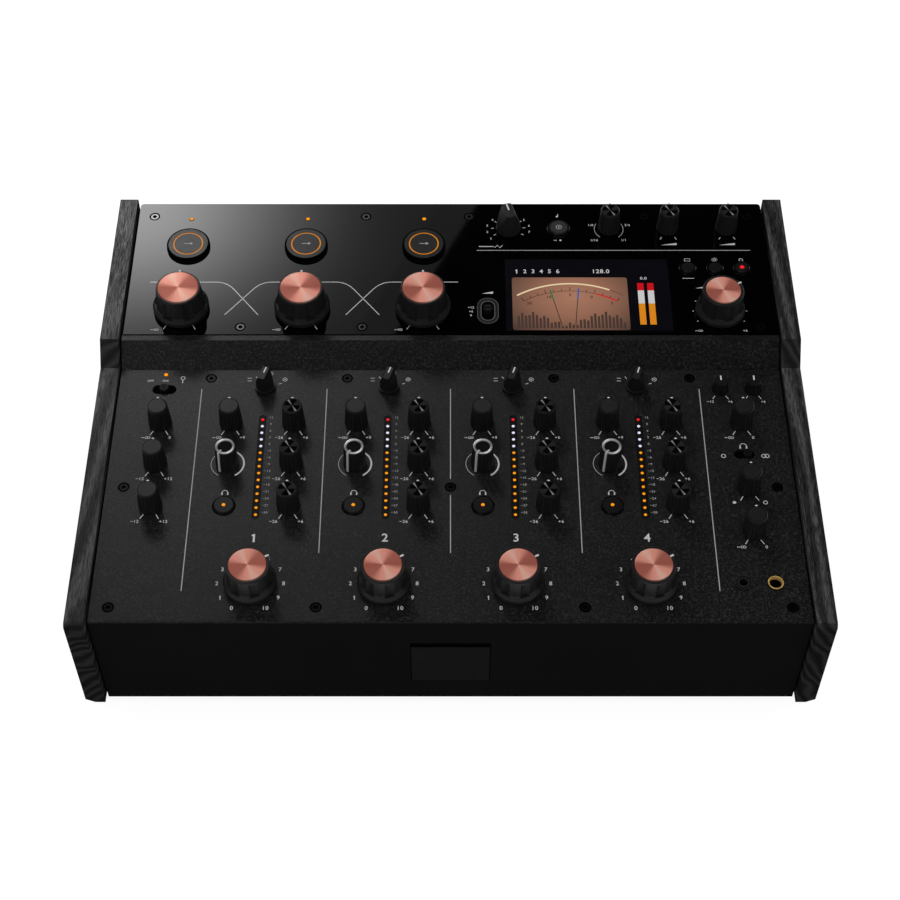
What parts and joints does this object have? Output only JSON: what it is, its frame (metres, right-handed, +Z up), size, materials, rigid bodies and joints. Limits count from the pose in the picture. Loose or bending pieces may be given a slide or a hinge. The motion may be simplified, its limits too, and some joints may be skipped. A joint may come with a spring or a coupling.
{
  "type": "dj mixer",
  "caption": "Rotary DJ mixer with channel strips, isolator knobs with copper caps, a needle display, and a stepped steel body between black wooden side panels.",
  "frame": {"origin": "centre of the footprint, on the plane under the feet", "axes": "+X to the user's right, +Y to the rear panel, +Z up; the front faces -Y"},
  "size_m": [0.38, 0.2942, 0.1297],
  "materials": {
    "chassis": "black powder-coated steel",
    "deck": "black powder-coated steel with white legends",
    "gloss_panel": "polished black acrylic",
    "side_wood": "black-stained oiled hardwood",
    "display_module": "display with cover glass",
    "indicator_lights": "clear light pipes with lit lenses",
    "circuit_boards": "green solder resist and black parts",
    "sockets": "black moulded sockets with plated contacts",
    "screws": "black oxide steel",
    "feet": "black moulded rubber",
    "controls": "satin black moulded knobs with copper-coloured spun caps"
  },
  "bodies": {
    "body": {"chassis_tray": "chassis", "control_deck": "deck", "glossy_panel": "gloss_panel", "side_panel_left": "side_wood", "side_panel_right": "side_wood", "display_module": "display_module", "indicator_lights": "indicator_lights", "circuit_boards": "circuit_boards", "sockets": "sockets", "screws": "screws", "feet": "feet", "small_controls": "controls"},
    "isolator_knob_low": {"isolator_knob_low": "controls"},
    "isolator_knob_mid": {"isolator_knob_mid": "controls"},
    "isolator_knob_high": {"isolator_knob_high": "controls"},
    "send_button_low": {"send_button_low": "controls"},
    "send_button_mid": {"send_button_mid": "controls"},
    "send_button_high": {"send_button_high": "controls"},
    "effect_selector": {"effect_selector": "controls"},
    "beat_knob": {"beat_knob": "controls"},
    "parameter_knob": {"parameter_knob": "controls"},
    "return_knob": {"return_knob": "controls"},
    "boost_switch": {"boost_switch": "controls"},
    "master_knob": {"master_knob": "controls"},
    "talkover_switch": {"talkover_switch": "controls"},
    "mic_level_knob": {"mic_level_knob": "controls"},
    "mic_high_knob": {"mic_high_knob": "controls"},
    "mic_low_knob": {"mic_low_knob": "controls"},
    "input_selector_1": {"input_selector_1": "controls"},
    "input_selector_2": {"input_selector_2": "controls"},
    "input_selector_3": {"input_selector_3": "controls"},
    "input_selector_4": {"input_selector_4": "controls"},
    "trim_knob_1": {"trim_knob_1": "controls"},
    "trim_knob_2": {"trim_knob_2": "controls"},
    "trim_knob_3": {"trim_knob_3": "controls"},
    "trim_knob_4": {"trim_knob_4": "controls"},
    "filter_knob_1": {"filter_knob_1": "controls"},
    "filter_knob_2": {"filter_knob_2": "controls"},
    "filter_knob_3": {"filter_knob_3": "controls"},
    "filter_knob_4": {"filter_knob_4": "controls"},
    "high_knob_1": {"high_knob_1": "controls"},
    "high_knob_2": {"high_knob_2": "controls"},
    "high_knob_3": {"high_knob_3": "controls"},
    "high_knob_4": {"high_knob_4": "controls"},
    "mid_knob_1": {"mid_knob_1": "controls"},
    "mid_knob_2": {"mid_knob_2": "controls"},
    "mid_knob_3": {"mid_knob_3": "controls"},
    "mid_knob_4": {"mid_knob_4": "controls"},
    "low_knob_1": {"low_knob_1": "controls"},
    "low_knob_2": {"low_knob_2": "controls"},
    "low_knob_3": {"low_knob_3": "controls"},
    "low_knob_4": {"low_knob_4": "controls"},
    "level_knob_1": {"level_knob_1": "controls"},
    "level_knob_2": {"level_knob_2": "controls"},
    "level_knob_3": {"level_knob_3": "controls"},
    "level_knob_4": {"level_knob_4": "controls"},
    "booth_knob": {"booth_knob": "controls"},
    "mono_switch": {"mono_switch": "controls"},
    "phones_mix_knob": {"phones_mix_knob": "controls"},
    "phones_level_knob": {"phones_level_knob": "controls"}
  },
  "joints": [
    {"name": "isolator_knob_low_turn", "type": "hinge", "parent": "body", "child": "isolator_knob_low", "pos_m": [-0.1481, 0.05053, 0.10886], "axis": [0, -0.0872, 0.9962], "range_deg": [-150, 150]},
    {"name": "isolator_knob_mid_turn", "type": "hinge", "parent": "body", "child": "isolator_knob_mid", "pos_m": [-0.08155, 0.05053, 0.10886], "axis": [0, -0.0872, 0.9962], "range_deg": [-150, 150]},
    {"name": "isolator_knob_high_turn", "type": "hinge", "parent": "body", "child": "isolator_knob_high", "pos_m": [-0.01505, 0.05053, 0.10886], "axis": [0, -0.0872, 0.9962], "range_deg": [-150, 150]},
    {"name": "send_button_low_move", "type": "slide", "parent": "body", "child": "send_button_low", "axis": [0, 0.0872, -0.9962], "range_m": [0, 0.001], "stiffness_N_per_m": 400, "springref_m": -0.0015},
    {"name": "send_button_mid_move", "type": "slide", "parent": "body", "child": "send_button_mid", "axis": [0, 0.0872, -0.9962], "range_m": [0, 0.001], "stiffness_N_per_m": 400, "springref_m": -0.0015},
    {"name": "send_button_high_move", "type": "slide", "parent": "body", "child": "send_button_high", "axis": [0, 0.0872, -0.9962], "range_m": [0, 0.001], "stiffness_N_per_m": 400, "springref_m": -0.0015},
    {"name": "effect_selector_turn", "type": "hinge", "parent": "body", "child": "effect_selector", "pos_m": [0.033, 0.1104, 0.1141], "axis": [0, -0.0872, 0.9962], "range_deg": [-90, 90]},
    {"name": "beat_knob_turn", "type": "hinge", "parent": "body", "child": "beat_knob", "pos_m": [0.0902, 0.1104, 0.1141], "axis": [0, -0.0872, 0.9962], "range_deg": [-120, 120]},
    {"name": "parameter_knob_turn", "type": "hinge", "parent": "body", "child": "parameter_knob", "pos_m": [0.1236, 0.1104, 0.1141], "axis": [0, -0.0872, 0.9962], "range_deg": [-150, 150]},
    {"name": "return_knob_turn", "type": "hinge", "parent": "body", "child": "return_knob", "pos_m": [0.157, 0.1104, 0.1141], "axis": [0, -0.0872, 0.9962], "range_deg": [-150, 150]},
    {"name": "boost_switch_move", "type": "slide", "parent": "body", "child": "boost_switch", "axis": [0, 0.9962, 0.0872], "range_m": [-0.0028, 0.0028]},
    {"name": "master_knob_turn", "type": "hinge", "parent": "body", "child": "master_knob", "pos_m": [0.1482, 0.04854, 0.10869], "axis": [0, -0.0872, 0.9962], "range_deg": [-90, 210]},
    {"name": "talkover_switch_move", "type": "slide", "parent": "body", "child": "talkover_switch", "axis": [1, 0, 0], "range_m": [-0.004, 0.004]},
    {"name": "mic_level_knob_turn", "type": "hinge", "parent": "body", "child": "mic_level_knob", "pos_m": [-0.1544, -0.01951, 0.09139], "axis": [0, -0.0872, 0.9962], "range_deg": [-150, 150]},
    {"name": "mic_high_knob_turn", "type": "hinge", "parent": "body", "child": "mic_high_knob", "pos_m": [-0.1544, -0.04646, 0.08903], "axis": [0, -0.0872, 0.9962], "range_deg": [-150, 150]},
    {"name": "mic_low_knob_turn", "type": "hinge", "parent": "body", "child": "mic_low_knob", "pos_m": [-0.1544, -0.07341, 0.08667], "axis": [0, -0.0872, 0.9962], "range_deg": [-150, 150]},
    {"name": "input_selector_1_turn", "type": "hinge", "parent": "body", "child": "input_selector_1", "pos_m": [-0.10005, 0.00479, 0.09352], "axis": [0, -0.0872, 0.9962], "range_deg": [-36, 72]},
    {"name": "input_selector_2_turn", "type": "hinge", "parent": "body", "child": "input_selector_2", "pos_m": [-0.03335, 0.00479, 0.09352], "axis": [0, -0.0872, 0.9962], "range_deg": [-36, 72]},
    {"name": "input_selector_3_turn", "type": "hinge", "parent": "body", "child": "input_selector_3", "pos_m": [0.03335, 0.00479, 0.09352], "axis": [0, -0.0872, 0.9962], "range_deg": [-36, 72]},
    {"name": "input_selector_4_turn", "type": "hinge", "parent": "body", "child": "input_selector_4", "pos_m": [0.10005, 0.00479, 0.09352], "axis": [0, -0.0872, 0.9962], "range_deg": [-36, 72]},
    {"name": "trim_knob_1_turn", "type": "hinge", "parent": "body", "child": "trim_knob_1", "pos_m": [-0.11672, -0.01951, 0.09139], "axis": [0, -0.0872, 0.9962], "range_deg": [-150, 150]},
    {"name": "trim_knob_2_turn", "type": "hinge", "parent": "body", "child": "trim_knob_2", "pos_m": [-0.05003, -0.01951, 0.09139], "axis": [0, -0.0872, 0.9962], "range_deg": [-150, 150]},
    {"name": "trim_knob_3_turn", "type": "hinge", "parent": "body", "child": "trim_knob_3", "pos_m": [0.01667, -0.01951, 0.09139], "axis": [0, -0.0872, 0.9962], "range_deg": [-150, 150]},
    {"name": "trim_knob_4_turn", "type": "hinge", "parent": "body", "child": "trim_knob_4", "pos_m": [0.08338, -0.01951, 0.09139], "axis": [0, -0.0872, 0.9962], "range_deg": [-150, 150]},
    {"name": "filter_knob_1_turn", "type": "hinge", "parent": "body", "child": "filter_knob_1", "pos_m": [-0.11672, -0.04646, 0.08903], "axis": [0, -0.0872, 0.9962], "range_deg": [-290, 0]},
    {"name": "filter_knob_2_turn", "type": "hinge", "parent": "body", "child": "filter_knob_2", "pos_m": [-0.05003, -0.04646, 0.08903], "axis": [0, -0.0872, 0.9962], "range_deg": [-290, 0]},
    {"name": "filter_knob_3_turn", "type": "hinge", "parent": "body", "child": "filter_knob_3", "pos_m": [0.01667, -0.04646, 0.08903], "axis": [0, -0.0872, 0.9962], "range_deg": [-290, 0]},
    {"name": "filter_knob_4_turn", "type": "hinge", "parent": "body", "child": "filter_knob_4", "pos_m": [0.08338, -0.04646, 0.08903], "axis": [0, -0.0872, 0.9962], "range_deg": [-290, 0]},
    {"name": "high_knob_1_turn", "type": "hinge", "parent": "body", "child": "high_knob_1", "pos_m": [-0.08338, -0.01951, 0.09139], "axis": [0, -0.0872, 0.9962], "range_deg": [-150, 150]},
    {"name": "high_knob_2_turn", "type": "hinge", "parent": "body", "child": "high_knob_2", "pos_m": [-0.01667, -0.01951, 0.09139], "axis": [0, -0.0872, 0.9962], "range_deg": [-150, 150]},
    {"name": "high_knob_3_turn", "type": "hinge", "parent": "body", "child": "high_knob_3", "pos_m": [0.05003, -0.01951, 0.09139], "axis": [0, -0.0872, 0.9962], "range_deg": [-150, 150]},
    {"name": "high_knob_4_turn", "type": "hinge", "parent": "body", "child": "high_knob_4", "pos_m": [0.11672, -0.01951, 0.09139], "axis": [0, -0.0872, 0.9962], "range_deg": [-150, 150]},
    {"name": "mid_knob_1_turn", "type": "hinge", "parent": "body", "child": "mid_knob_1", "pos_m": [-0.08338, -0.04646, 0.08903], "axis": [0, -0.0872, 0.9962], "range_deg": [-150, 150]},
    {"name": "mid_knob_2_turn", "type": "hinge", "parent": "body", "child": "mid_knob_2", "pos_m": [-0.01667, -0.04646, 0.08903], "axis": [0, -0.0872, 0.9962], "range_deg": [-150, 150]},
    {"name": "mid_knob_3_turn", "type": "hinge", "parent": "body", "child": "mid_knob_3", "pos_m": [0.05003, -0.04646, 0.08903], "axis": [0, -0.0872, 0.9962], "range_deg": [-150, 150]},
    {"name": "mid_knob_4_turn", "type": "hinge", "parent": "body", "child": "mid_knob_4", "pos_m": [0.11672, -0.04646, 0.08903], "axis": [0, -0.0872, 0.9962], "range_deg": [-150, 150]},
    {"name": "low_knob_1_turn", "type": "hinge", "parent": "body", "child": "low_knob_1", "pos_m": [-0.08338, -0.07341, 0.08667], "axis": [0, -0.0872, 0.9962], "range_deg": [-150, 150]},
    {"name": "low_knob_2_turn", "type": "hinge", "parent": "body", "child": "low_knob_2", "pos_m": [-0.01667, -0.07341, 0.08667], "axis": [0, -0.0872, 0.9962], "range_deg": [-150, 150]},
    {"name": "low_knob_3_turn", "type": "hinge", "parent": "body", "child": "low_knob_3", "pos_m": [0.05003, -0.07341, 0.08667], "axis": [0, -0.0872, 0.9962], "range_deg": [-150, 150]},
    {"name": "low_knob_4_turn", "type": "hinge", "parent": "body", "child": "low_knob_4", "pos_m": [0.11672, -0.07341, 0.08667], "axis": [0, -0.0872, 0.9962], "range_deg": [-150, 150]},
    {"name": "level_knob_1_turn", "type": "hinge", "parent": "body", "child": "level_knob_1", "pos_m": [-0.10005, -0.12073, 0.08253], "axis": [0, -0.0872, 0.9962], "range_deg": [-90, 210]},
    {"name": "level_knob_2_turn", "type": "hinge", "parent": "body", "child": "level_knob_2", "pos_m": [-0.03335, -0.12073, 0.08253], "axis": [0, -0.0872, 0.9962], "range_deg": [-90, 210]},
    {"name": "level_knob_3_turn", "type": "hinge", "parent": "body", "child": "level_knob_3", "pos_m": [0.03335, -0.12073, 0.08253], "axis": [0, -0.0872, 0.9962], "range_deg": [-90, 210]},
    {"name": "level_knob_4_turn", "type": "hinge", "parent": "body", "child": "level_knob_4", "pos_m": [0.10005, -0.12073, 0.08253], "axis": [0, -0.0872, 0.9962], "range_deg": [-90, 210]},
    {"name": "booth_knob_turn", "type": "hinge", "parent": "body", "child": "booth_knob", "pos_m": [0.1544, -0.01951, 0.09139], "axis": [0, -0.0872, 0.9962], "range_deg": [-150, 150]},
    {"name": "mono_switch_move", "type": "slide", "parent": "body", "child": "mono_switch", "axis": [1, 0, 0], "range_m": [-0.0035, 0]},
    {"name": "phones_mix_knob_turn", "type": "hinge", "parent": "body", "child": "phones_mix_knob", "pos_m": [0.1544, -0.06195, 0.08768], "axis": [0, -0.0872, 0.9962], "range_deg": [-150, 150]},
    {"name": "phones_level_knob_turn", "type": "hinge", "parent": "body", "child": "phones_level_knob", "pos_m": [0.1544, -0.08905, 0.08531], "axis": [0, -0.0872, 0.9962], "range_deg": [-150, 150]}
  ]
}
